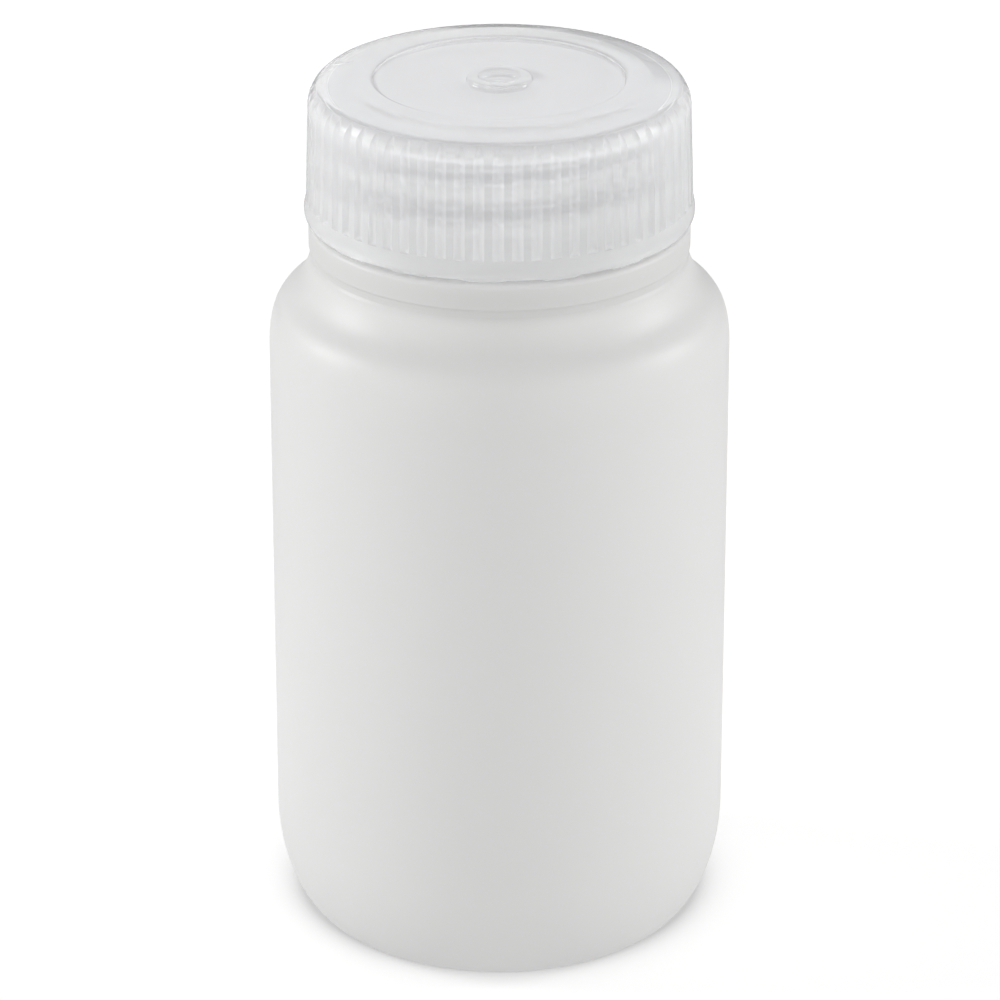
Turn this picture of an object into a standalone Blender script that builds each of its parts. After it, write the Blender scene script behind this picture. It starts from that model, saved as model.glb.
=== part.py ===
# Wide-mouth plastic reagent bottle with a ribbed screw cap.
#
# Three separate pieces, all turned about the +Z axis:
#   bottle_body    one-piece hollow bottle: pushed-up base, straight wall, round shoulder,
#                  neck collar, open neck with an outside right-hand thread
#   screw_cap      clear cap: top plate with a raised land and a dimpled boss, ribbed skirt,
#                  smooth lower band with a notched rim, inside right-hand thread
#   sealing_liner  thin disc between the cap's plate and the bottle's rim
#
# Frame: origin at the centre of the base, on the surface the bottle stands on; +Z up the axis.
# The cap turns about the Z axis, which runs through its object origin, and climbs one
# thread pitch for each turn.

import bpy
import bmesh
from math import sin, cos, radians, tau
from mathutils import Matrix

MM = 0.001               # all sizes below are in millimetres, angles in degrees
MERGE_DIST = 0.00001     # metres

# ---------------------------------------------------------------- bottle: base and wall
BODY_R = 25.0
WALL = 1.15
BASE_CORNER_R = 6.72     # the base corner is a quarter ellipse: radial half-axis
BASE_CORNER_H = 12.93    # and height
STAND_IN_R = 14.6        # inner edge of the flat standing ring
PUSH_UP = 1.7            # height of the base's push-up at its centre
PUSH_MID_R = STAND_IN_R * 0.6    # the push-up's one station between centre and ring
PUSH_MID_Z = PUSH_UP * 0.72
FLOOR = 1.3              # thickness of the floor
BODY_STEPS = 48

# ---------------------------------------------------------------- bottle: shoulder
# Tilts are slopes below horizontal, handles are lengths of Bezier handles.
SHOULDER_Z = 67.8        # the straight wall ends here
SHOULDER_HANDLE = 4.5    # upwards from the wall's end
BEND_R = 22.8            # the steep foot of the neck turns into the shoulder here
BEND_Z = 73.9
BEND_TILT = 42.0
BEND_UP_HANDLE = 0.8
BEND_DOWN_HANDLE = 1.2
FOOT_TILT = 77.0         # under the collar
FOOT_HANDLE = 3.0
INNER_DROP = 0.6         # the inside curve starts this far below the outside one
INNER_HANDLE_RISE = 5.6  # its lower handle ends this far above SHOULDER_Z
SHOULDER_POINTS = 6      # in each half of the outside curve
INNER_POINTS = 7
THROAT_POINTS = 3

# ---------------------------------------------------------------- bottle: collar and neck
COLLAR_R = 20.60         # collar under the cap
COLLAR_TOP_Z = 81.95
COLLAR_BEVEL = 0.45
COLLAR_LOW_Z = 78.22
LIP_Z = 79.2             # the collar steps in a little here
LIP_SLOPE = 0.12         # drop across that step
NECK_FOOT_R = 20.42      # radius below the step
NECK_R = 17.65           # outside wall of the neck
NECK_BEVEL = 0.4         # where the neck meets the collar
BORE_R = 15.9            # mouth
RIM_Z = 94.30
RIM_BEVEL = 0.35

# ---------------------------------------------------------------- threads (right-hand)
PITCH = 4.2
THREAD_TOP_Z = 91.9      # height of both ridges' centres at their upper ends
NECK_THREAD_AZ = -43.0   # azimuth of the neck ridge's upper end
NECK_RIDGE_R = 1.1       # round ridge, centred on the neck's wall
NECK_TURNS = 1.75
CAP_THREAD_AZ = NECK_THREAD_AZ + 180.0   # half a turn on, so half a pitch below the neck's
CAP_RIDGE_R = 0.9        # round ridge, partly sunk in the skirt's inside wall
CAP_RIDGE_INSET = 0.35   # its centre lies this far inside the wall's radius
CAP_TURNS = 1.5
RIDGE_STEPS = 24         # control points a turn
RIDGE_BEVEL_RES = 2
END_SCALE = 0.35         # ridge thickness at its very ends
END_GROWTH = 0.35        # gained with each control point, up to full thickness

# ---------------------------------------------------------------- cap: skirt
CAP_IN_R = 19.25         # inside wall
CAP_LOW_Z = 82.40        # lower edge
MOUTH_BEVEL_R = 0.25     # bevel inside the lower edge: radial size
MOUTH_BEVEL_H = 0.35     # and height
INNER_BEVEL = 0.6        # where the inside wall meets the plate
BEAD_R = 21.04           # fullest radius of the smooth band
BEAD_Z = 83.15
BEAD_H = 0.5             # height of its straight part
BEAD_TUCK = 0.4          # the band narrows this much down to the lower edge
RIB_LOW_Z = 84.75        # ribs end on the band
RIB_LOW_R = 20.81        # crest radius there
RIB_TOP_R = 20.50        # crest radius at the top corner, after the draft

# ---------------------------------------------------------------- cap: top
LAND_Z = 97.95           # raised land, a ring near the edge
LAND_IN_R = 13.1
LAND_OUT_R = 16.8
LAND_STEP = 0.35         # radial run of the slope from the plate up to the land
CORNER_R = 2.99          # round of the top corner
CORNER_START = 70.0      # angle above horizontal at which the round begins
EDGE_Z = 97.72           # foot of the land, just inside the corner round
EDGE_OFFSET = 0.35       # its radius beyond the round's centre
PLATE_Z = 97.25          # plate inside the land
PLATE_T = 1.35
PLATE_LOW_Z = PLATE_Z - PLATE_T
BOSS_R = 3.5             # boss at the centre
BOSS_TOP_Z = 98.02
DIMPLE_R = 2.3           # dimple in the boss
DIMPLE_Z = PLATE_Z + 0.12

# ---------------------------------------------------------------- cap: grooves and notches
RIBS = 64
CAP_STEPS = RIBS         # one facet for each groove
GROOVE_AZ = 180.0 / CAP_STEPS    # middle of the first facet
GROOVE_DEG = 2.7         # width of a groove
GROOVE_DEPTH = 0.55
GROOVE_CUT = 2.0         # radial size of the cutter
GROOVE_OVER = 1.0        # the cutter's height above the land
NOTCHES = 16
NOTCH_DEG = 180.0 / NOTCHES      # as wide as the gaps between them
NOTCH_DEPTH = 0.55
NOTCH_CUT = 4.0          # radial size of the cutter
NOTCH_AZ = -105.75       # centre of the first notch

# ---------------------------------------------------------------- liner
LINER_R = 18.55
LINER_T = 1.0
LINER_BEVEL = 0.15
LINER_GAP = 0.30         # above the bottle's rim
LINER_STEPS = 48


# ---------------------------------------------------------------- helpers
def clear_scene():
    for ob in list(bpy.data.objects):
        bpy.data.objects.remove(ob, do_unlink=True)


def collection(name):
    col = bpy.data.collections.new(name)
    bpy.context.scene.collection.children.link(col)
    return col


def add_object(name, data, col):
    ob = bpy.data.objects.new(name, data)
    col.objects.link(ob)
    return ob


def bezier(p0, p1, p2, p3, count):
    """Points along a cubic, without its first one."""
    points = []
    for i in range(1, count + 1):
        t = i / count
        weights = ((1 - t) ** 3, 3 * t * (1 - t) ** 2, 3 * t * t * (1 - t), t ** 3)
        points.append(tuple(sum(w * p[axis] for w, p in zip(weights, (p0, p1, p2, p3)))
                            for axis in (0, 1)))
    return points


def downhill(point, length, tilt):
    """The point moved outwards and down a slope; a negative length moves it back up."""
    slope = radians(tilt)
    return (point[0] + length * cos(slope), point[1] - length * sin(slope))


def arc(centre_r, centre_z, half_r, half_z, start, end, count):
    """Points on an ellipse between two angles in degrees, both ends included."""
    angles = [radians(start + (end - start) * i / count) for i in range(count + 1)]
    return [(centre_r + half_r * cos(a), centre_z + half_z * sin(a)) for a in angles]


def chord(radius, degrees):
    return 2 * radius * sin(radians(degrees / 2))


def turned(name, profile, steps, col):
    """A closed body of revolution from (radius, height) pairs that start and end on the axis."""
    mesh = bpy.data.meshes.new(name)
    bm = bmesh.new()
    verts = [bm.verts.new((r * MM, 0.0, z * MM)) for r, z in profile]
    for pair in zip(verts, verts[1:]):
        bm.edges.new(pair)
    bm.to_mesh(mesh)
    bm.free()
    ob = add_object(name, mesh, col)
    screw = ob.modifiers.new("Turn", "SCREW")
    screw.axis = "Z"
    screw.angle = tau
    screw.steps = steps
    screw.render_steps = steps
    screw.use_merge_vertices = True
    screw.merge_threshold = MERGE_DIST
    screw.use_smooth_shade = True
    return ob


def helix_curve(name, radius, ridge_r, top_az, turns, col):
    """A round bevelled curve down a right-hand helix, thinner at both ends."""
    curve = bpy.data.curves.new(name, "CURVE")
    curve.dimensions = "3D"
    curve.bevel_depth = ridge_r * MM
    curve.bevel_resolution = RIDGE_BEVEL_RES
    curve.use_fill_caps = True
    curve.twist_mode = "Z_UP"
    count = int(turns * RIDGE_STEPS) + 1
    spline = curve.splines.new("POLY")
    spline.points.add(count - 1)
    for i, point in enumerate(spline.points):
        back = i / RIDGE_STEPS                      # turns below the upper end
        angle = radians(top_az) - back * tau
        z = THREAD_TOP_Z - back * PITCH
        point.co = (radius * MM * cos(angle), radius * MM * sin(angle), z * MM, 1.0)
        from_end = min(i, count - 1 - i)
        point.radius = min(1.0, END_SCALE + END_GROWTH * from_end)
    return add_object(name, curve, col)


def helix_ridge(name, radius, ridge_r, top_az, turns, col):
    """The helix curve turned into a closed mesh that a boolean can use."""
    source = helix_curve(name, radius, ridge_r, top_az, turns, col)
    bpy.context.view_layer.update()
    evaluated = source.evaluated_get(bpy.context.evaluated_depsgraph_get())
    mesh = bpy.data.meshes.new_from_object(evaluated)
    bm = bmesh.new()
    bm.from_mesh(mesh)
    # weld the end caps to the tube
    bmesh.ops.remove_doubles(bm, verts=bm.verts, dist=MERGE_DIST)
    bmesh.ops.recalc_face_normals(bm, faces=bm.faces)
    bm.to_mesh(mesh)
    bm.free()
    bpy.data.objects.remove(source, do_unlink=True)
    return add_object(name + "_mesh", mesh, col)


def box_ring(name, count, first_az, width, depth, height, radius, mid_z, col, lean=0.0):
    """A ring of equal boxes as one mesh: width is tangential, depth radial.

    lean, in radians, tips the boxes' tops towards the axis.
    """
    bm = bmesh.new()
    for i in range(count):
        place = (Matrix.Rotation(radians(first_az + 360.0 * i / count), 4, "Z")
                 @ Matrix.Translation((radius * MM, 0.0, mid_z * MM))
                 @ Matrix.Rotation(-lean, 4, "Y")
                 @ Matrix.Diagonal((depth * MM, width * MM, height * MM, 1.0)))
        bmesh.ops.create_cube(bm, size=1.0, matrix=place)
    mesh = bpy.data.meshes.new(name)
    bm.to_mesh(mesh)
    bm.free()
    return add_object(name, mesh, col)


def boolean(ob, other, operation):
    """Join or cut with a helper object, which stays in the scene as an unrendered wireframe."""
    mod = ob.modifiers.new(operation.title(), "BOOLEAN")
    mod.operation = operation
    mod.solver = "EXACT"
    mod.object = other
    other.hide_render = True
    other.display_type = "WIRE"


# ---------------------------------------------------------------- materials
def material(name, color, roughness, transmission=0.0):
    mat = bpy.data.materials.new(name)
    mat.use_nodes = True
    inputs = mat.node_tree.nodes["Principled BSDF"].inputs
    inputs["Base Color"].default_value = color
    inputs["Roughness"].default_value = roughness
    inputs["Metallic"].default_value = 0.0
    inputs["Transmission Weight"].default_value = transmission
    return mat


def hdpe():
    return material("hdpe_white", color=(0.80, 0.80, 0.79, 1.0), roughness=0.42)


def polypropylene():
    return material("polypropylene_clear", color=(0.83, 0.84, 0.85, 1.0), roughness=0.18,
                    transmission=0.85)


def foam():
    return material("foam_white", color=(0.86, 0.86, 0.86, 1.0), roughness=0.75)


# ---------------------------------------------------------------- bottle
def bottle_inside():
    """From the floor's centre out and up to the mouth."""
    wall_end = (BODY_R - WALL, SHOULDER_Z - INNER_DROP)
    throat = (BORE_R + 2.2, COLLAR_LOW_Z - 0.6)     # the shoulder turns up into the neck
    return [
        (0.0, PUSH_UP + FLOOR), (PUSH_MID_R, PUSH_MID_Z + FLOOR), (STAND_IN_R, FLOOR),
        *arc(BODY_R - BASE_CORNER_R, BASE_CORNER_H,
             BASE_CORNER_R - WALL, BASE_CORNER_H - FLOOR, -90, 0, 7),
        wall_end,
        *bezier(wall_end, (BODY_R - WALL, SHOULDER_Z + INNER_HANDLE_RISE),
                (BORE_R + 4.2, COLLAR_LOW_Z - 4.6), throat, INNER_POINTS),
        *bezier(throat, (BORE_R + 1.2, COLLAR_LOW_Z + 1.4),
                (BORE_R, COLLAR_LOW_Z + 2.0), (BORE_R, COLLAR_LOW_Z + 4.2), THROAT_POINTS),
        (BORE_R, RIM_Z - RIM_BEVEL), (BORE_R + RIM_BEVEL, RIM_Z),
    ]


def shoulder():
    """From the collar's foot steeply down to the bend, then round to the straight wall."""
    foot = (NECK_FOOT_R, COLLAR_LOW_Z)
    bend = (BEND_R, BEND_Z)
    upper = bezier(foot, downhill(foot, FOOT_HANDLE, FOOT_TILT),
                   downhill(bend, -BEND_UP_HANDLE, BEND_TILT), bend, SHOULDER_POINTS)
    lower = bezier(bend, downhill(bend, BEND_DOWN_HANDLE, BEND_TILT),
                   (BODY_R, SHOULDER_Z + SHOULDER_HANDLE), (BODY_R, SHOULDER_Z), SHOULDER_POINTS)
    return upper + lower


def bottle_outside():
    """From the rim down to the standing ring and in to the push-up's centre."""
    return [
        (NECK_R - RIM_BEVEL, RIM_Z), (NECK_R, RIM_Z - RIM_BEVEL),
        (NECK_R, COLLAR_TOP_Z + NECK_BEVEL), (NECK_R + NECK_BEVEL, COLLAR_TOP_Z),
        (COLLAR_R - COLLAR_BEVEL, COLLAR_TOP_Z), (COLLAR_R, COLLAR_TOP_Z - COLLAR_BEVEL),
        (COLLAR_R, LIP_Z), (NECK_FOOT_R, LIP_Z - LIP_SLOPE), (NECK_FOOT_R, COLLAR_LOW_Z),
        *shoulder(),
        *arc(BODY_R - BASE_CORNER_R, BASE_CORNER_H, BASE_CORNER_R, BASE_CORNER_H, 0, -90, 9),
        (STAND_IN_R, 0.0), (PUSH_MID_R, PUSH_MID_Z), (0.0, PUSH_UP),
    ]


def build_bottle(parts, tools):
    body = turned("bottle_body", bottle_inside() + bottle_outside(), BODY_STEPS, parts)
    ridge = helix_ridge("neck_ridge", NECK_R, NECK_RIDGE_R, NECK_THREAD_AZ, NECK_TURNS, tools)
    boolean(body, ridge, "UNION")
    body.data.materials.append(hdpe())


# ---------------------------------------------------------------- cap
def cap_profile():
    """From the top's centre over the outside to the lower edge, then back up the inside."""
    corner_r = RIB_TOP_R - CORNER_R
    return [
        # boss and its dimple
        (0.0, DIMPLE_Z), (DIMPLE_R - 0.25, DIMPLE_Z),
        (DIMPLE_R + 0.1, BOSS_TOP_Z - 0.12), (DIMPLE_R + 0.4, BOSS_TOP_Z),
        (BOSS_R - 0.35, BOSS_TOP_Z), (BOSS_R, BOSS_TOP_Z - 0.3), (BOSS_R + 0.05, PLATE_Z),
        # plate, land and top corner
        (LAND_IN_R - LAND_STEP, PLATE_Z), (LAND_IN_R, LAND_Z), (LAND_OUT_R, LAND_Z),
        (corner_r + EDGE_OFFSET, EDGE_Z),
        *arc(corner_r, LAND_Z - CORNER_R, CORNER_R, CORNER_R, CORNER_START, 0, 6),
        # skirt and smooth band
        (RIB_LOW_R, RIB_LOW_Z), (BEAD_R, BEAD_Z + BEAD_H), (BEAD_R, BEAD_Z),
        (BEAD_R - BEAD_TUCK, CAP_LOW_Z),
        # inside wall and underside of the plate
        (CAP_IN_R + MOUTH_BEVEL_R, CAP_LOW_Z), (CAP_IN_R, CAP_LOW_Z + MOUTH_BEVEL_H),
        (CAP_IN_R, PLATE_LOW_Z - INNER_BEVEL), (CAP_IN_R - INNER_BEVEL, PLATE_LOW_Z),
        (0.0, PLATE_LOW_Z),
    ]


def groove_cutters(tools):
    """Boxes that lean with the skirt's draft, from the band to above the land."""
    draft = (RIB_LOW_R - RIB_TOP_R) / (LAND_Z - CORNER_R - RIB_LOW_Z)
    top_z = LAND_Z + GROOVE_OVER
    mid_z = (RIB_LOW_Z + top_z) / 2
    crest_r = RIB_LOW_R - draft * (mid_z - RIB_LOW_Z)
    return box_ring("groove_cutters", RIBS, GROOVE_AZ,
                    width=chord(crest_r, GROOVE_DEG), depth=GROOVE_CUT,
                    height=top_z - RIB_LOW_Z,
                    radius=crest_r - GROOVE_DEPTH + GROOVE_CUT / 2, mid_z=mid_z,
                    col=tools, lean=draft)


def notch_cutters(tools):
    """Boxes centred on the lower edge, cutting right through the skirt."""
    return box_ring("notch_cutters", NOTCHES, NOTCH_AZ,
                    width=chord(BEAD_R, NOTCH_DEG), depth=NOTCH_CUT,
                    height=2 * NOTCH_DEPTH,
                    radius=(BEAD_R + CAP_IN_R) / 2, mid_z=CAP_LOW_Z, col=tools)


def build_cap(parts, tools):
    cap = turned("screw_cap", cap_profile(), CAP_STEPS, parts)
    boolean(cap, groove_cutters(tools), "DIFFERENCE")
    boolean(cap, notch_cutters(tools), "DIFFERENCE")
    ridge = helix_ridge("cap_ridge", CAP_IN_R - CAP_RIDGE_INSET, CAP_RIDGE_R, CAP_THREAD_AZ,
                        CAP_TURNS, tools)
    boolean(cap, ridge, "UNION")
    cap.data.materials.append(polypropylene())


# ---------------------------------------------------------------- liner
def build_liner(parts):
    """A plain disc with bevelled edges, its origin at the centre of its underside."""
    flat_r = LINER_R - LINER_BEVEL
    profile = [(0.0, LINER_T), (flat_r, LINER_T), (LINER_R, LINER_T - LINER_BEVEL),
               (LINER_R, LINER_BEVEL), (flat_r, 0.0), (0.0, 0.0)]
    liner = turned("sealing_liner", profile, LINER_STEPS, parts)
    liner.location = (0.0, 0.0, (RIM_Z + LINER_GAP) * MM)
    liner.data.materials.append(foam())


clear_scene()
part_collection = collection("reagent_bottle")
cutter_collection = collection("cutters")
build_bottle(part_collection, cutter_collection)
build_cap(part_collection, cutter_collection)
build_liner(part_collection)
bpy.context.view_layer.update()
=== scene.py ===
"""A round HDPE bottle with a ribbed clear screw cap and a foam sealing liner, on a white sweep.

The bottle stands on z = 0 with its axis on +Z. The camera looks from -Y, so +X is to its right.
Shapes are in millimetres, scaled by MM where meshes are made. Lengths in shaders and on the
stage are in metres. An azimuth is in degrees from +X, anticlockwise seen from above.
"""
from math import acos, cos, degrees, pi, radians, sin, sqrt, tau

import bpy
import numpy as np
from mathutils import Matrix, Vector


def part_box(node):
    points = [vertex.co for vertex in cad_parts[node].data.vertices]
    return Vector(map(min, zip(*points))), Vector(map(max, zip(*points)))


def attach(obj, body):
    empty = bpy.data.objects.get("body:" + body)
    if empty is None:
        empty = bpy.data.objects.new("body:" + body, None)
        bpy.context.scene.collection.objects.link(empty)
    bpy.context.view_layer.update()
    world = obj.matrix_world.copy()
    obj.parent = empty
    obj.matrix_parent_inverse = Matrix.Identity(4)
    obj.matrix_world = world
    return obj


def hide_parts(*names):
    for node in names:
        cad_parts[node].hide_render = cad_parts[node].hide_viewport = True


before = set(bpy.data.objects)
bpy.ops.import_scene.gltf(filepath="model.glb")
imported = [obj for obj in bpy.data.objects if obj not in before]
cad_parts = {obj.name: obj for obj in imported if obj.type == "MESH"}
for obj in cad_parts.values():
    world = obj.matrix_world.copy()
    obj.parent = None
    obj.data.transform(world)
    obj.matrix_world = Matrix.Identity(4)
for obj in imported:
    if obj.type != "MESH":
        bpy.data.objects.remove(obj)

MM = 0.001
scene = bpy.context.scene


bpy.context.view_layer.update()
_, body_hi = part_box("bottle_body")
cap_lo, cap_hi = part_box("screw_cap")
liner_lo, liner_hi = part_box("sealing_liner")

# ------------------------------------------------------------------ bottle sizes (mm)
BOTTLE_SIDES = 256
BODY_R = body_hi.x / MM
RIM_Z = body_hi.z / MM
WALL = 1.15
INNER_R = BODY_R - WALL

# base: a tall elliptical corner, a flat foot ring and a pushed-up middle
BASE_CORNER_R, BASE_CORNER_H = 6.72, 12.93
BASE_FLAT_R = BODY_R - BASE_CORNER_R
FOOT_IN_R, PUSH_UP, BASE_T = 14.6, 1.7, 1.3
PUSH_MID_R, PUSH_MID_Z = FOOT_IN_R * 0.6, PUSH_UP * 0.72

# shoulder: two curves that meet at the bend; tilts are degrees below level
SHOULDER_Z, SHOULDER_RISE = 67.8, 4.5
BEND, BEND_TILT = (22.8, 73.9), 42.0
FOOT_R, FOOT_TILT = 20.42, 77.0          # the shoulder's top, in the recess under the lip

COLLAR_R, COLLAR_LOW_Z, COLLAR_TOP_Z, LIP_Z = 20.60, 78.22, 81.95, 79.2
COLLAR_ROUND = 0.5
NECK_R, BORE_R = 17.65, 15.9
RIM_IN_ROUND, RIM_OUT_ROUND = 0.4, 0.45

# threads: right-hand ridges, each with its upper end's azimuth and height
PITCH = 4.2
RIDGE_FADE = 22.0                        # degrees over which a ridge's ends run out
RING_STEP = 0.15                         # height between rings of the threaded walls
NECK_RIDGE_AZ, NECK_RIDGE_TOP, NECK_TURNS, NECK_RIDGE_H = -43.0, 91.9, 1.75, 1.08
CAP_RIDGE_AZ, CAP_RIDGE_TOP, CAP_TURNS, CAP_RIDGE_H = -20.0, 94.27, 2.2, 1.2

# ------------------------------------------------------------------ cap sizes (mm)
CAP_LOW_Z = cap_lo.z / MM
BOSS_TOP_Z = cap_hi.z / MM
CAP_IN_R = 19.25
BEAD_R, BEAD_Z = 21.04, 83.35
RIB_LOW_Z, RIB_LOW_R, RIB_TOP_R = 84.75, 20.81, 20.50
LAND_Z, PLATE_Z, PLATE_T, GATE_Z = 97.95, 97.50, 1.60, 97.25
LAND_IN_R, LAND_OUT_R = 13.6, 16.2
LAND_EDGE = (LAND_OUT_R + 0.25, LAND_Z - 0.045)
UNDER_Z = PLATE_Z - PLATE_T
IN_CORNER_R, IN_CORNER_H = 4.2, 1.0

# round top corner, with a crease where it starts
CORNER_R = 2.99
CORNER_MID_R, CORNER_MID_Z = RIB_TOP_R - CORNER_R, LAND_Z - CORNER_R
CREASE_R = 19.35
CREASE_PSI = degrees(acos((CREASE_R - CORNER_MID_R) / CORNER_R))   # angle above level
CREASE_Z = CORNER_MID_Z + CORNER_R * sin(radians(CREASE_PSI))

RIBS = 64
RIB_AZ = -87.57                          # azimuth of one rib's centre
GROOVE_DEPTH = 0.40
GROOVE_HALF = 0.2935                     # half width as a share of the rib spacing
GROOVE_TOP_PSI = 44.0                    # the grooves run out this far round the top corner
GROOVE_END = 0.45                        # height over which they end on the band
NOTCHES, NOTCH_DEG, NOTCH_EDGE_DEG, NOTCH_DEPTH, NOTCH_AZ = 16, 11.25, 0.45, 0.22, -105.75
CAP_IN_LOW_Z = CAP_LOW_Z + NOTCH_DEPTH

# ------------------------------------------------------------------ liner sizes (mm)
LINER_SIDES = 128
LINER_Z0, LINER_Z1 = liner_lo.z / MM, liner_hi.z / MM
LINER_R, LINER_ROUND, LINER_HUB_R = 18.25, 0.2, 1.0


# ------------------------------------------------------------------ mesh helpers
class Outline:
    """A half section as (radius, height) points. Each stretch runs on from the last place,
    which it doesn't repeat."""

    def __init__(self, start, keep_start=False):
        self.here = start
        self.points = [start] if keep_start else []

    def add(self, *points):
        self.points += points
        self.here = points[-1]

    def jump(self, place):
        """Moves on without adding a point."""
        self.here = place

    def line(self, end, n):
        (r0, z0), (r1, z1) = self.here, end
        self.add(*[(r0 + (r1 - r0) * i / n, z0 + (z1 - z0) * i / n) for i in range(1, n + 1)])

    def curve(self, handle_a, handle_b, end, n, skip=0):
        """A cubic Bezier in n steps, less its first skip points."""
        t = np.linspace(0, 1, n + 1)[1 + skip:, None]
        a, b, c, d = (np.array(p, float) for p in (self.here, handle_a, handle_b, end))
        places = (1 - t) ** 3 * a + 3 * t * (1 - t) ** 2 * b + 3 * t * t * (1 - t) * c + t ** 3 * d
        self.add(*map(tuple, places))

    def corner(self, end, n, upright):
        """A quarter ellipse that leaves along the axis (upright) or along the radius."""
        (r0, z0), (r1, z1) = self.here, end
        for angle in np.radians(np.linspace(0, 90, n + 1))[1:]:
            if upright:
                self.add((r1 + (r0 - r1) * cos(angle), z0 + (z1 - z0) * sin(angle)))
            else:
                self.add((r0 + (r1 - r0) * sin(angle), z1 + (z0 - z1) * cos(angle)))


def smoothstep(x):
    x = np.clip(x, 0.0, 1.0)
    return x * x * (3 - 2 * x)


def ridge(azimuths, z, az_top, z_top, turns, half_base, half_crest):
    """Height share (0..1) of a helical ridge with rounded flanks, at each azimuth."""
    share = np.zeros(azimuths.shape)
    first_turn = np.mod(az_top - azimuths, 360.0) / 360.0
    for k in range(int(turns) + 1):
        turn = first_turn + k
        ends = (smoothstep(turn * 360.0 / RIDGE_FADE)
                * smoothstep((turns - turn) * 360.0 / RIDGE_FADE))
        off_crest = np.abs(z - (z_top - turn * PITCH))
        flank = smoothstep((half_base - off_crest) / (half_base - half_crest))
        share = np.maximum(share, flank * ends)
    return share


def even_azimuths(n):
    return np.arange(n) * 360.0 / n


def axis_point(z):
    return (None, 0, z)


def rings_at(azimuths, points):
    return [(azimuths, r, z) for r, z in points]


def turned_mesh(name, rings, sharp_deg):
    """A closed surface from rings of (azimuths, radius, height), with an axis point at each end.
    Neighbouring rings may differ in count by a whole factor."""
    verts, faces, spans = [], [], []
    for azimuths, radius, height in rings:
        start = len(verts)
        if azimuths is None:
            verts.append((0.0, 0.0, height))
        else:
            a = np.radians(azimuths)
            r = np.broadcast_to(radius, a.shape)
            verts.extend(zip(r * np.cos(a), r * np.sin(a), np.broadcast_to(height, a.shape)))
        spans.append((start, len(verts) - start))
    for (s0, n0), (s1, n1) in zip(spans, spans[1:]):
        if n0 == 1:
            faces.extend((s0, s1 + j, s1 + (j + 1) % n1) for j in range(n1))
        elif n1 == 1:
            faces.extend((s0 + (j + 1) % n0, s0 + j, s1) for j in range(n0))
        elif n1 >= n0:
            m = n1 // n0
            for j in range(n0):
                many = [s1 + (j * m + q) % n1 for q in range(m + 1)]
                faces.append([s0 + j] + many + [s0 + (j + 1) % n0])
        else:
            m = n0 // n1
            for j in range(n1):
                many = [s0 + (j * m + q) % n0 for q in range(m + 1)]
                faces.append([s1 + j, s1 + (j + 1) % n1] + many[::-1])
    mesh = bpy.data.meshes.new(name)
    mesh.from_pydata([(x * MM, y * MM, z * MM) for x, y, z in verts], [], faces)
    mesh.update()
    ob = bpy.data.objects.new(name, mesh)
    scene.collection.objects.link(ob)
    mesh.shade_smooth()
    mesh.set_sharp_from_angle(angle=radians(sharp_deg))
    return ob


# ------------------------------------------------------------------ bottle
def bottle_inside():
    """From the middle of the base up the inner wall, over the rim to the neck's outside."""
    path = Outline((0, PUSH_UP + BASE_T))
    path.line((PUSH_MID_R, PUSH_MID_Z + BASE_T), 6)
    path.curve((FOOT_IN_R * 0.8, PUSH_UP * 0.45 + BASE_T), (FOOT_IN_R * 0.92, BASE_T),
               (FOOT_IN_R, BASE_T), 8)
    path.line((BASE_FLAT_R, BASE_T), 2)
    path.corner((INNER_R, BASE_CORNER_H), 20, upright=False)
    path.line((INNER_R, SHOULDER_Z - 0.6), 16)
    path.curve((INNER_R, SHOULDER_Z + 5.6), (BORE_R + 4.2, COLLAR_LOW_Z - 4.6),
               (BORE_R + 2.2, COLLAR_LOW_Z - 0.6), 24)
    path.curve((BORE_R + 1.2, COLLAR_LOW_Z + 1.4), (BORE_R, COLLAR_LOW_Z + 2.0),
               (BORE_R, COLLAR_LOW_Z + 4.2), 12)
    path.line((BORE_R, RIM_Z - RIM_IN_ROUND), 6)
    path.corner((BORE_R + RIM_IN_ROUND, RIM_Z), 5, upright=True)
    path.line((NECK_R - RIM_OUT_ROUND, RIM_Z), 2)
    path.corner((NECK_R, RIM_Z - RIM_OUT_ROUND), 5, upright=False)
    return path.points


def neck_rings(azimuths):
    rings = []
    for z in np.arange(RIM_Z - 0.6, COLLAR_TOP_Z + 0.55, -RING_STEP):
        share = ridge(azimuths, z, NECK_RIDGE_AZ, NECK_RIDGE_TOP, NECK_TURNS,
                      half_base=1.15, half_crest=0.35)
        rings.append((azimuths, NECK_R + NECK_RIDGE_H * share, z))
    return rings


def down_slope(place, length, tilt):
    """The place a length away from another, outwards and tilt degrees down."""
    return (place[0] + length * cos(radians(tilt)), place[1] - length * sin(radians(tilt)))


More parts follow.
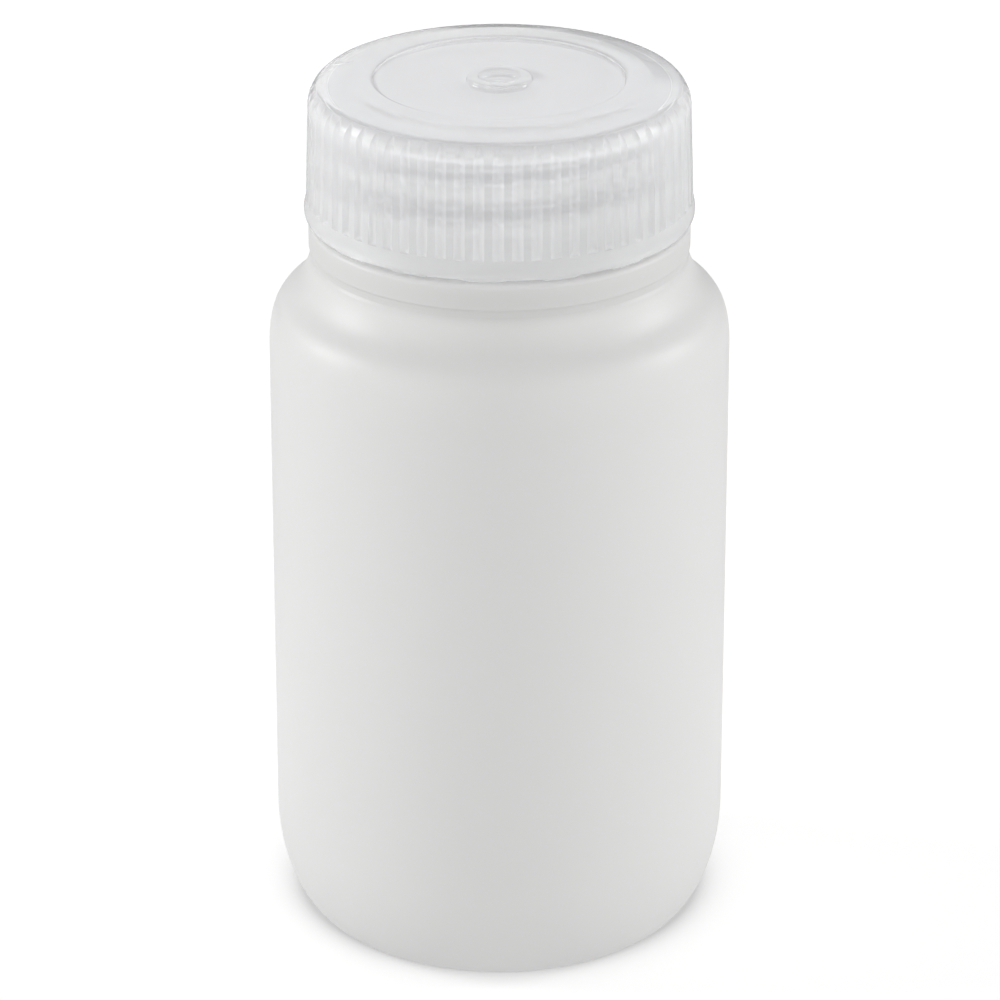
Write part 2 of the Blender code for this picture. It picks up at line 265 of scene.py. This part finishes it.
def bottle_outside():
    """From the neck's root down over collar, shoulder and wall, and in under the base."""
    path = Outline((NECK_R, COLLAR_TOP_Z + COLLAR_ROUND), keep_start=True)
    path.corner((NECK_R + COLLAR_ROUND, COLLAR_TOP_Z), 5, upright=True)
    path.line((COLLAR_R - COLLAR_ROUND, COLLAR_TOP_Z), 4)
    path.corner((COLLAR_R, COLLAR_TOP_Z - COLLAR_ROUND), 7, upright=False)
    path.line((COLLAR_R, LIP_Z + 0.10), 8)
    # the lip, the recessed ring under it and the sharp start of the shoulder
    path.curve((COLLAR_R, LIP_Z), (FOOT_R + 0.06, LIP_Z - 0.02), (FOOT_R - 0.02, LIP_Z - 0.14), 6)
    path.line((FOOT_R - 0.05, COLLAR_LOW_Z + 0.08), 4)
    path.add((FOOT_R - 0.03, COLLAR_LOW_Z + 0.02), (FOOT_R + 0.03, COLLAR_LOW_Z - 0.03))
    foot = (FOOT_R, COLLAR_LOW_Z)
    path.jump(foot)
    path.curve(down_slope(foot, 3.0, FOOT_TILT), down_slope(BEND, -0.8, BEND_TILT), BEND, 34,
               skip=1)
    path.curve(down_slope(BEND, 1.2, BEND_TILT), (BODY_R, SHOULDER_Z + SHOULDER_RISE),
               (BODY_R, SHOULDER_Z), 34)
    path.line((BODY_R, BASE_CORNER_H), 40)
    path.corner((BASE_FLAT_R, 0), 40, upright=True)
    path.line((FOOT_IN_R + 0.6, 0), 3)
    path.curve((FOOT_IN_R, 0), (FOOT_IN_R * 0.8, PUSH_UP * 0.5), (PUSH_MID_R, PUSH_MID_Z), 10)
    path.line((0.9, PUSH_UP * 0.98), 6)
    return path.points


def bottle():
    azimuths = even_azimuths(BOTTLE_SIDES)
    rings = [axis_point(PUSH_UP + BASE_T)]
    rings += rings_at(azimuths, bottle_inside())
    rings += neck_rings(azimuths)
    rings += rings_at(azimuths, bottle_outside())
    rings.append(axis_point(PUSH_UP))
    return turned_mesh("bottle_shell", rings, sharp_deg=40)


# ------------------------------------------------------------------ cap
# places across one rib spacing, as shares of it: the groove's middle is at 0.5
FRACTIONS = np.array([0.0, 0.13, 0.5 - GROOVE_HALF, 0.228, 0.29, 0.39,
                      0.5, 0.61, 0.71, 0.772, 0.5 + GROOVE_HALF, 0.87])
SCALLOP = np.tile(np.clip(1 - ((FRACTIONS - 0.5) / GROOVE_HALF) ** 2, 0, None), RIBS)


def rib_azimuths(fractions):
    return ((np.arange(RIBS)[:, None] + fractions[None, :]) * (360.0 / RIBS)).ravel() + RIB_AZ


def grooved_azimuths(width):
    """Dense azimuths across each groove, which is width times its full width."""
    off = FRACTIONS - 0.5
    beyond = (np.abs(off) - GROOVE_HALF) * (0.5 - GROOVE_HALF * width) / (0.5 - GROOVE_HALF)
    land = np.sign(off) * (GROOVE_HALF * width + beyond)
    return rib_azimuths(0.5 + np.where(np.abs(off) <= GROOVE_HALF, off * width, land))


FINE = grooved_azimuths(1.0)
COARSE = rib_azimuths(np.array([0.0, 0.25, 0.5, 0.75]))


def cap_top():
    """Gate mark, dimple, boss ring, plate and raised land, from the middle out."""
    path = Outline((0.35, GATE_Z + 0.22), keep_start=True)
    path.add((0.5, GATE_Z + 0.18), (0.62, GATE_Z + 0.05))
    path.line((1.65, GATE_Z), 3)
    path.curve((2.02, GATE_Z), (2.10, GATE_Z + 0.06), (2.14, GATE_Z + 0.3), 6)
    path.jump((2.20, BOSS_TOP_Z - 0.14))
    path.curve((2.22, BOSS_TOP_Z - 0.03), (2.28, BOSS_TOP_Z), (2.4, BOSS_TOP_Z), 4)
    path.line((3.26, BOSS_TOP_Z), 2)
    path.curve((3.38, BOSS_TOP_Z), (3.45, BOSS_TOP_Z - 0.04), (3.47, BOSS_TOP_Z - 0.14), 4)
    path.curve((3.51, PLATE_Z + 0.10), (3.55, PLATE_Z + 0.02), (3.75, PLATE_Z), 5)
    path.jump((3.85, PLATE_Z))
    path.line((LAND_IN_R - 0.55, PLATE_Z), 5)
    path.curve((LAND_IN_R - 0.2, PLATE_Z), (LAND_IN_R - 0.12, PLATE_Z + 0.1),
               (LAND_IN_R - 0.1, PLATE_Z + 0.3), 4)
    path.curve((LAND_IN_R - 0.05, LAND_Z - 0.1), (LAND_IN_R, LAND_Z), (LAND_IN_R + 0.3, LAND_Z), 4)
    path.line((LAND_OUT_R - 0.25, LAND_Z), 3)
    path.curve((LAND_OUT_R - 0.1, LAND_Z), (LAND_OUT_R + 0.05, LAND_Z - 0.01), LAND_EDGE, 4)
    return path.points


def cap_corner_rings():
    """The slope out to the crease, then the round corner where the grooves begin."""
    path = Outline(LAND_EDGE)
    path.line((CREASE_R - 0.32, CREASE_Z + 0.13), 6)
    path.add((CREASE_R - 0.16, CREASE_Z + 0.085), (CREASE_R - 0.06, CREASE_Z + 0.045))
    rings = rings_at(FINE, path.points)
    for psi in np.concatenate([np.linspace(CREASE_PSI, GROOVE_TOP_PSI, 4),
                               np.linspace(GROOVE_TOP_PSI, 0, 18)[1:]]):
        width = sqrt(max(0.0, 1 - (psi / GROOVE_TOP_PSI) ** 1.5))
        reach = CORNER_R - GROOVE_DEPTH * width * width * SCALLOP
        rings.append((grooved_azimuths(max(width, 0.02)),
                      CORNER_MID_R + reach * cos(radians(psi)),
                      CORNER_MID_Z + reach * sin(radians(psi))))
    return rings


def cap_skirt_rings():
    """The ribbed skirt with its draft; the grooves end steeply on the band."""
    end_z = RIB_LOW_Z + GROOVE_END
    rings = []
    for z in np.concatenate([np.linspace(CORNER_MID_Z, end_z, 14)[1:],
                             np.linspace(end_z, RIB_LOW_Z, 9)[1:]]):
        down = (CORNER_MID_Z - z) / (CORNER_MID_Z - RIB_LOW_Z)
        r = RIB_TOP_R + (RIB_LOW_R - RIB_TOP_R) * down
        past_end = max(0.0, (end_z - z) / GROOVE_END)
        depth = GROOVE_DEPTH * sqrt(max(0.0, 1 - past_end ** 2))
        rings.append((FINE, r - depth * SCALLOP, z))
    return rings


def cap_band_rings():
    """The smooth band with its bead, down to the notched lower edge."""
    half = 180.0 / NOTCHES
    off_notch = np.abs(np.mod(FINE - NOTCH_AZ + half, 2 * half) - half)
    notch = smoothstep((NOTCH_DEG / 2 - off_notch) / NOTCH_EDGE_DEG + 0.5)
    low = CAP_LOW_Z + NOTCH_DEPTH * notch
    path = Outline((RIB_LOW_R, RIB_LOW_Z))
    path.curve((RIB_LOW_R + 0.05, RIB_LOW_Z - 0.4), (BEAD_R, BEAD_Z + 0.5), (BEAD_R, BEAD_Z), 9)
    path.curve((BEAD_R, BEAD_Z - 0.4), (BEAD_R - 0.18, CAP_LOW_Z + 0.25),
               (BEAD_R - 0.42, CAP_LOW_Z), 10)
    rings = [(FINE, r, np.maximum(z, low)) for r, z in path.points]
    return rings + [(FINE, BEAD_R - 0.62, low), (FINE, CAP_IN_R + 0.35, low)]


def cap_inside_rings():
    """The threaded wall and the underside of the plate."""
    rings = [(COARSE, CAP_IN_R + 0.02, CAP_IN_LOW_Z + 0.12)]
    for z in np.arange(CAP_IN_LOW_Z + 0.3, UNDER_Z - IN_CORNER_H - 0.1, RING_STEP):
        share = ridge(COARSE, z, CAP_RIDGE_AZ, CAP_RIDGE_TOP, CAP_TURNS,
                      half_base=1.0, half_crest=0.3)
        rings.append((COARSE, CAP_IN_R - CAP_RIDGE_H * share, z))
    path = Outline((CAP_IN_R, UNDER_Z - IN_CORNER_H), keep_start=True)
    path.corner((CAP_IN_R - IN_CORNER_R, UNDER_Z), 16, upright=True)
    path.line((1.0, UNDER_Z), 6)
    return rings + rings_at(COARSE, path.points)


def cap():
    rings = [axis_point(GATE_Z + 0.23)] + rings_at(COARSE, cap_top())
    rings += cap_corner_rings() + cap_skirt_rings() + cap_band_rings() + cap_inside_rings()
    rings.append(axis_point(UNDER_Z))
    return turned_mesh("cap_shell", rings, sharp_deg=24)


# ------------------------------------------------------------------ liner
def liner():
    path = Outline((LINER_HUB_R, LINER_Z0), keep_start=True)
    path.line((LINER_R - LINER_ROUND, LINER_Z0), 6)
    path.corner((LINER_R, LINER_Z0 + LINER_ROUND), 4, upright=False)
    path.add((LINER_R, LINER_Z1 - LINER_ROUND))
    path.corner((LINER_R - LINER_ROUND, LINER_Z1), 4, upright=True)
    path.line((LINER_HUB_R, LINER_Z1), 6)
    rings = [axis_point(LINER_Z0)] + rings_at(even_azimuths(LINER_SIDES), path.points)
    rings.append(axis_point(LINER_Z1))
    return turned_mesh("seal_disc", rings[::-1], sharp_deg=40)


# ------------------------------------------------------------------ shader helpers
class Shader:
    """Fills the emptied node tree of a material or world. Values are numbers, colours or
    output sockets; every method but add returns an output socket."""

    def __init__(self, owner, output="OutputMaterial"):
        self.owner = owner
        owner.use_nodes = True
        self.tree = owner.node_tree
        self.tree.nodes.clear()
        self.output = self.add(output)

    def set(self, node, key, value):
        if isinstance(value, bpy.types.NodeSocket):
            self.tree.links.new(value, node.inputs[key])
        else:
            node.inputs[key].default_value = value

    def add(self, kind, inputs=None, **settings):
        """A node with its settings, and its inputs by socket name or index."""
        node = self.tree.nodes.new("ShaderNode" + kind)
        for key, value in settings.items():
            setattr(node, key, value)
        for key, value in (inputs or {}).items():
            self.set(node, key, value)
        return node

    def finish(self, socket, value):
        self.set(self.output, socket, value)

    def get(self, kind, output):
        return self.add(kind).outputs[output]

    def shader(self, kind, **inputs):
        """A shader node; an underscore in an input's name stands for a space."""
        named = {key.replace("_", " "): value for key, value in inputs.items()}
        return self.add(kind, named).outputs[0]

    def math(self, operation, *values, clamp=False):
        inputs = dict(enumerate(values))
        return self.add("Math", inputs, operation=operation, use_clamp=clamp).outputs[0]

    def vector(self, operation, *values):
        return self.add("VectorMath", dict(enumerate(values)), operation=operation).outputs[0]

    def scaled(self, vector, factor):
        inputs = {0: vector, "Scale": factor}
        return self.add("VectorMath", inputs, operation="SCALE").outputs[0]

    def length(self, vector):
        return self.add("VectorMath", {0: vector}, operation="LENGTH").outputs["Value"]

    def axes(self, vector):
        return self.add("SeparateXYZ", {"Vector": vector}).outputs

    def remap(self, value, span, to=(0.0, 1.0), kind="SMOOTHSTEP"):
        """Carries the span of a value over to another."""
        inputs = dict(enumerate((value, *span, *to)))
        return self.add("MapRange", inputs, interpolation_type=kind).outputs[0]

    def mix_value(self, factor, a, b):
        return self.add("Mix", {0: factor, 2: a, 3: b}, data_type="FLOAT").outputs[0]

    def mix_color(self, factor, a, b):
        return self.add("Mix", {0: factor, 6: a, 7: b}, data_type="RGBA").outputs[2]

    def mix_shader(self, factor, a, b):
        return self.add("MixShader", {0: factor, 1: a, 2: b}).outputs[0]

    def noise(self, place, scale, detail, roughness=0.5):
        inputs = {"Vector": place, "Scale": scale, "Detail": detail, "Roughness": roughness}
        return self.add("TexNoise", inputs).outputs["Fac"]

    def bump(self, height, strength, distance):
        inputs = {"Strength": strength, "Distance": distance, "Height": height}
        return self.add("Bump", inputs).outputs["Normal"]


# ------------------------------------------------------------------ bottle material
HDPE_TINTS = (0.80, 0.80, 0.792, 1), (0.815, 0.815, 0.808, 1)
# painted shade: collar and neck under the cap darkened, as brightness against the wall's
COLLAR_PAINTED_SHADE, NECK_PAINTED_SHADE = 0.89, 0.70       # brightness against the wall's
# painted shade under the ridges, in the grooves of the neck's thread
NECK_GROOVE_SHADE = (0.52, 0.525, 0.55, 1)


def neck_groove_shade_share(shader, place, height):
    """Painted shade between the turns of the neck's thread: 1 in the grooves, 0 on the ridge and
    lower down.
    """
    cut = shader.axes(place)
    azimuth = shader.math("ARCTAN2", cut[1], cut[0])
    # height above the ridge in pitches, plus a half; the 100 keeps it positive
    at_zero = NECK_RIDGE_AZ / 360.0 - NECK_RIDGE_TOP / PITCH + 100.5
    turn = shader.math("MULTIPLY_ADD", azimuth, -1.0 / tau, at_zero)
    turn = shader.math("MULTIPLY_ADD", height, 1 / MM / PITCH, turn)
    turn = shader.math("FRACT", turn)
    off_groove = shader.math("PINGPONG", turn, 0.5)
    groove = shader.remap(off_groove, span=(0.10, 0.26), to=(1.0, 0.0))
    above = shader.remap(height, span=(0.0864, 0.0876))
    return shader.math("MULTIPLY", groove, above)


def hdpe_material():
    shader = Shader(bpy.data.materials.new("hdpe_satin"))
    place = shader.get("TexCoord", "Object")
    fine = shader.noise(place, scale=2600.0, detail=3.0, roughness=0.6)
    peel = shader.noise(place, scale=420.0, detail=2.0)
    slow = shader.noise(place, scale=45.0, detail=3.0)
    fine_bump = shader.bump(fine, strength=0.10, distance=0.00006)
    both_bumps = shader.add("Bump", {"Strength": 0.12, "Distance": 0.00020, "Height": peel,
                                     "Normal": fine_bump}).outputs["Normal"]
    rough = shader.remap(slow, span=(0.3, 0.7), to=(0.36, 0.42), kind="LINEAR")
    color = shader.mix_color(slow, *HDPE_TINTS)
    # the thick neck and collar let somewhat less light through than the wall; most of their
    # darkening is painted shade for the shade under the cap, whose shadow rays pass through
    height = shader.axes(place)[2]
    shade = shader.remap(height, span=(0.0770, 0.0790), to=(1.0, COLLAR_PAINTED_SHADE))
    shade = shader.remap(height, span=(0.0818, 0.0830), to=(shade, NECK_PAINTED_SHADE))
    # painted shade in the grooves between the neck thread's turns
    groove = neck_groove_shade_share(shader, place, height)
    groove_shade_tint = shader.mix_color(groove, (1, 1, 1, 1), NECK_GROOVE_SHADE)
    tint = shader.scaled(shader.vector("MULTIPLY", color, groove_shade_tint), shade)
    surface = shader.shader(
        "BsdfPrincipled", Base_Color=tint, Roughness=rough, IOR=1.50, Specular_IOR_Level=0.42,
        Subsurface_Weight=0.55, Subsurface_Radius=(1.0, 1.0, 1.0), Subsurface_Scale=0.0022,
        Normal=both_bumps)
    shader.finish("Surface", surface)
    return shader.owner


# ------------------------------------------------------------------ cap material
SKIRT_HAZE, TOP_HAZE = 0.43, 0.25           # share of milky shader in the clear one
SKIRT_ROUGH, SKIRT_ROUGH_SPREAD, TOP_ROUGH = 0.08, 0.02, 0.05
CAP_DENSITY = 0.5
# the edge-on colours are painted shade for the dark rim of clear plastic seen at a grazing angle
CAP_CLEAR, CAP_RIND_SHADE = (0.985, 0.99, 0.995, 1), (0.55, 0.555, 0.565, 1)   # facing, edge-on
CAP_MILK, CAP_EDGE_SHADE = (0.985, 0.985, 0.99, 1), (0.62, 0.625, 0.635, 1)    # facing, edge-on
CAP_SHADOW, CAP_ABSORPTION = (0.97, 0.97, 0.975, 1), (0.75, 0.76, 0.785, 1)


def cap_material():
    shader = Shader(bpy.data.materials.new("pp_clear"))
    place = shader.get("TexCoord", "Object")
    height = shader.axes(place)[2]
    top = shader.remap(height, span=(0.0956, 0.0972))
    fine = shader.noise(place, scale=1500.0, detail=2.0)
    slow = shader.noise(place, scale=120.0, detail=3.0)
    bump = shader.bump(fine, strength=0.012, distance=0.00004)
    side_rough = shader.remap(slow, span=(0.3, 0.7), kind="LINEAR",
                              to=(SKIRT_ROUGH - SKIRT_ROUGH_SPREAD,
                                  SKIRT_ROUGH + SKIRT_ROUGH_SPREAD))
    rough = shader.mix_value(top, side_rough, TOP_ROUGH)
    # seen edge-on the clear wall is darker: painted shade standing in for the dark rim that
    # internal reflection gives clear plastic
    facing = shader.add("LayerWeight", {"Blend": 0.5}).outputs["Facing"]
    graze_shade = shader.math("MULTIPLY", shader.remap(facing, span=(0.70, 0.92)), top)
    glass = shader.shader("BsdfPrincipled", Base_Color=shader.mix_color(graze_shade, CAP_CLEAR, CAP_RIND_SHADE),
                          Roughness=rough, IOR=1.49, Transmission_Weight=1.0, Normal=bump)
    edge = shader.remap(facing, span=(0.72, 1.0))
    body = shader.mix_color(edge, CAP_MILK, CAP_EDGE_SHADE)
    milk = shader.shader("BsdfDiffuse", Color=body, Normal=bump)
    glow = shader.shader("BsdfTranslucent", Color=body, Normal=bump)
    through = 0.35                          # translucent share of the haze
    haze = shader.mix_shader(through, milk, glow)
    amount = shader.mix_value(top, SKIRT_HAZE, TOP_HAZE)
    seen = shader.mix_shader(amount, glass, haze)
    # shadow rays pass nearly unhindered
    clear = shader.shader("BsdfTransparent", Color=CAP_SHADOW)
    is_shadow = shader.get("LightPath", "Is Shadow Ray")
    shader.finish("Surface", shader.mix_shader(is_shadow, seen, clear))
    volume = shader.shader("VolumeAbsorption", Color=CAP_ABSORPTION, Density=CAP_DENSITY)
    shader.finish("Volume", volume)
    return shader.owner


# ------------------------------------------------------------------ liner material
FOAM_MIDDLE, FOAM_RIM = (0.86, 0.86, 0.865, 1), (0.78, 0.785, 0.79, 1)
# painted reflection of the cap's 64 ribs, as a ring of darker ticks on the foam
RIB_REFLECTION_TICKS, RIB_REFLECTION_RING_R = 64, 0.0127             # a ring of darker ticks
# painted shadow of the cap's boss on the foam
BOSS_SHADOW_RING_R = 0.0035


def off_radius(shader, radius, ring_r):
    return shader.math("ABSOLUTE", shader.math("SUBTRACT", radius, ring_r))


def liner_material():
    shader = Shader(bpy.data.materials.new("foam_white"))
    place = shader.get("TexCoord", "Object")
    x, y, _ = shader.axes(place)
    x_squared = shader.math("MULTIPLY", x, x)
    y_squared = shader.math("MULTIPLY", y, y)
    radius = shader.math("SQRT", shader.math("ADD", x_squared, y_squared))
    rim = shader.remap(radius, span=(0.0157, 0.0161), kind="LINEAR")
    cells = shader.add("TexVoronoi", {"Vector": place, "Scale": 2200.0}).outputs["Distance"]
    bump = shader.bump(cells, strength=0.25, distance=0.00008)
    color = shader.mix_color(rim, FOAM_MIDDLE, FOAM_RIM)
    # painted reflection of the cap's ribs: the ticks darken their ring by 0.1 to 1.1 times the
    # lane's strength
    azimuth = shader.math("ARCTAN2", y, x)
    wave = shader.math("SINE", shader.math("MULTIPLY", azimuth, float(RIB_REFLECTION_TICKS)))
    lane = shader.remap(off_radius(shader, radius, RIB_REFLECTION_RING_R),
                        span=(0.0003, 0.0009), to=(0.09, 0.0))
    tick = shader.math("MULTIPLY_ADD", wave, 0.5, -0.6)
    tick = shader.math("MULTIPLY_ADD", tick, lane, 1.0)
    # painted shadow of the boss: a soft darker ring on the foam
    boss_shadow_ring = shader.remap(off_radius(shader, radius, BOSS_SHADOW_RING_R),
                             span=(0.0002, 0.0011), to=(0.84, 1.0))
    tint = shader.scaled(color, shader.math("MULTIPLY", boss_shadow_ring, tick))
    surface = shader.shader(
        "BsdfPrincipled", Base_Color=tint, Roughness=0.6, Subsurface_Weight=0.3,
        Subsurface_Radius=(1.0, 1.0, 1.0), Subsurface_Scale=0.001, Normal=bump)
    shader.finish("Surface", surface)
    return shader.owner


# ------------------------------------------------------------------ the three pieces
shells = [bottle(), cap(), liner()]
materials = [hdpe_material(), cap_material(), liner_material()]
fittings = [("bottle", "bottle_body", "hdpe_body"),     # rides with, replaces, material slot
            ("cap", "screw_cap", "pp_cap"),
            ("liner", "sealing_liner", "foam_liner")]
for shell, material, (group, piece, slot) in zip(shells, materials, fittings):
    shell.data.materials.append(material)
    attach(shell, group)
    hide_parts(piece)

# ------------------------------------------------------------------ floor
FLOOR_HALF = 6.0
FLOOR_GLOW = 0.42                           # what the camera sees on top of the lit floor
# painted contact shadow (mm): reach from its centre, fade length and depth
SHADOW_R, SHADOW_FADE, SHADOW_DEPTH = 24.4, 1.6, 0.36
SHADOW_CENTRE = (0.0, 0.0045, 0.0)
# levels of the light it gives the objects: in front, at the sides, behind,
# and factors under the bottle and far behind
FLOOR_FRONT, FLOOR_SIDE, FLOOR_BACK = 0.78, 0.86, 0.66
FLOOR_UNDER, FLOOR_FAR = 0.80, 0.2


def floor_seen(shader, place):
    """Evenly lit white with a painted soft contact shadow, a little deeper on the far side."""
    diffuse = shader.shader("BsdfDiffuse", Color=(0.8, 0.8, 0.8, 1))
    off = shader.length(shader.vector("SUBTRACT", place, SHADOW_CENTRE))
    off = shader.math("MULTIPLY_ADD", off, -1 / MM / SHADOW_FADE, SHADOW_R / SHADOW_FADE)
    off = shader.math("EXPONENT", off)
    light = shader.math("MULTIPLY_ADD", off, -SHADOW_DEPTH, 1.0, clamp=True)
    glow = shader.math("MULTIPLY", light, FLOOR_GLOW)
    # the far floor runs into the white backdrop
    far_glow = shader.remap(shader.length(place), span=(0.25, 0.9), to=(0.0, 0.7))
    glow = shader.math("ADD", glow, far_glow)
    emission = shader.shader("Emission", Color=(1, 1, 1, 1), Strength=glow)
    return shader.add("AddShader", {0: diffuse, 1: emission}).outputs[0]


def floor_light(shader, place):
    """What the objects get from the floor, by its distance and its place along y."""
    x, y, _ = shader.axes(place)
    flat = shader.add("CombineXYZ", {0: x, 1: y, 2: 0.0}).outputs[0]
    near = shader.remap(shader.length(flat), span=(0.018, 0.06), to=(FLOOR_UNDER, 1.0))
    depth = shader.remap(y, span=(-0.055, 0.015), to=(FLOOR_FRONT, FLOOR_SIDE))
    depth = shader.remap(y, span=(0.03, 0.12), to=(depth, FLOOR_BACK))
    fade = shader.remap(y, span=(0.22, 0.55), to=(1.0, FLOOR_FAR))
    level = shader.math("MULTIPLY", near, depth)
    level = shader.math("MULTIPLY", level, fade)
    return shader.shader("Emission", Color=(1, 1, 1, 1), Strength=level)


def floor():
    mesh = bpy.data.meshes.new("floor")
    s = FLOOR_HALF
    mesh.from_pydata([(-s, -s, 0), (s, -s, 0), (s, s, 0), (-s, s, 0)], [], [(0, 1, 2, 3)])
    ob = bpy.data.objects.new("floor", mesh)
    scene.collection.objects.link(ob)
    shader = Shader(bpy.data.materials.new("floor_white"))
    place = shader.get("NewGeometry", "Position")
    seen = floor_seen(shader, place)
    light = floor_light(shader, place)
    is_camera = shader.get("LightPath", "Is Camera Ray")
    shader.finish("Surface", shader.mix_shader(is_camera, light, seen))
    mesh.materials.append(shader.owner)


# ------------------------------------------------------------------ room
ROOM_FRONT, ROOM_SIDE, ROOM_BACK, ROOM_TOP = 1.10, 0.62, 0.85, 0.42
FLAG = 0.20
BACKDROP = 1.02


def room():
    """A white room with its own level in front (the camera's side), at the sides, behind
    and above."""
    world = bpy.data.worlds.new("studio")
    scene.world = world
    shader = Shader(world, output="OutputWorld")
    x, y, z = shader.axes(shader.get("TexCoord", "Generated"))
    level = shader.mix_value(shader.remap(y, span=(-0.1, -0.95)), ROOM_SIDE, ROOM_FRONT)
    level = shader.mix_value(shader.remap(y, span=(0.1, 0.95)), level, ROOM_BACK)
    level = shader.mix_value(shader.remap(z, span=(0.35, 0.95)), level, ROOM_TOP)
    # a dark flag low behind on the right, which draws the far edge of the cap's top
    right = shader.remap(x, span=(0.005, 0.05))
    flag = shader.math("MULTIPLY", right, shader.remap(y, span=(0.80, 0.90)))
    flag = shader.math("MULTIPLY", flag, shader.remap(z, span=(0.36, 0.26)))
    level = shader.mix_value(flag, level, FLAG)
    # the camera sees a plain white sweep behind
    level = shader.mix_value(shader.get("LightPath", "Is Camera Ray"), level, BACKDROP)
    background = shader.shader("Background", Color=(1, 1, 1, 1), Strength=level)
    shader.finish("Surface", background)


# ------------------------------------------------------------------ lights
LIGHT_AIM = Vector((0, 0, 0.07))
BOX_W, BOX_H, BOX_DISTANCE, BOX_ELEVATION = 0.36, 0.40, 1.0, 19
# name, degrees round from the camera's side (positive to its right), radiance
SOFTBOXES = [("softbox_left", -96, 7.30), ("softbox_right", 96, 6.05)]


def softbox(name, turn, radiance):
    lamp = bpy.data.lights.new(name, "AREA")
    lamp.shape = "RECTANGLE"
    lamp.size, lamp.size_y = BOX_W, BOX_H
    lamp.energy = radiance * pi * BOX_W * BOX_H
    a, e = radians(turn), radians(BOX_ELEVATION)
    outward = Vector((cos(e) * sin(a), -cos(e) * cos(a), sin(e)))
    ob = bpy.data.objects.new(name, lamp)
    ob.location = LIGHT_AIM + BOX_DISTANCE * outward
    ob.rotation_euler = (-outward).to_track_quat("-Z", "Y").to_euler()
    scene.collection.objects.link(ob)


# ------------------------------------------------------------------ camera
LENS_MM, SENSOR_MM, SHIFT_X = 184.9824, 36.0, 0.0005
CAMERA_TILT, CAMERA_DISTANCE, CAMERA_AIM_Z = 23.7126, 0.56671, 0.048667   # degrees down, m, m


def camera():
    lens = bpy.data.cameras.new("camera")
    lens.sensor_width = SENSOR_MM
    lens.lens = LENS_MM
    lens.shift_x = SHIFT_X
    lens.clip_start, lens.clip_end = 0.05, 20.0
    ob = bpy.data.objects.new("camera", lens)
    tilt = radians(CAMERA_TILT)
    ob.location = (0.0, -CAMERA_DISTANCE * cos(tilt), CAMERA_AIM_Z + CAMERA_DISTANCE * sin(tilt))
    ob.rotation_euler = (radians(90 - CAMERA_TILT), 0, 0)
    scene.collection.objects.link(ob)
    scene.camera = ob


floor()
room()
for box in SOFTBOXES:
    softbox(*box)
camera()
scene.view_settings.view_transform = "Standard"
scene.view_settings.look = "None"
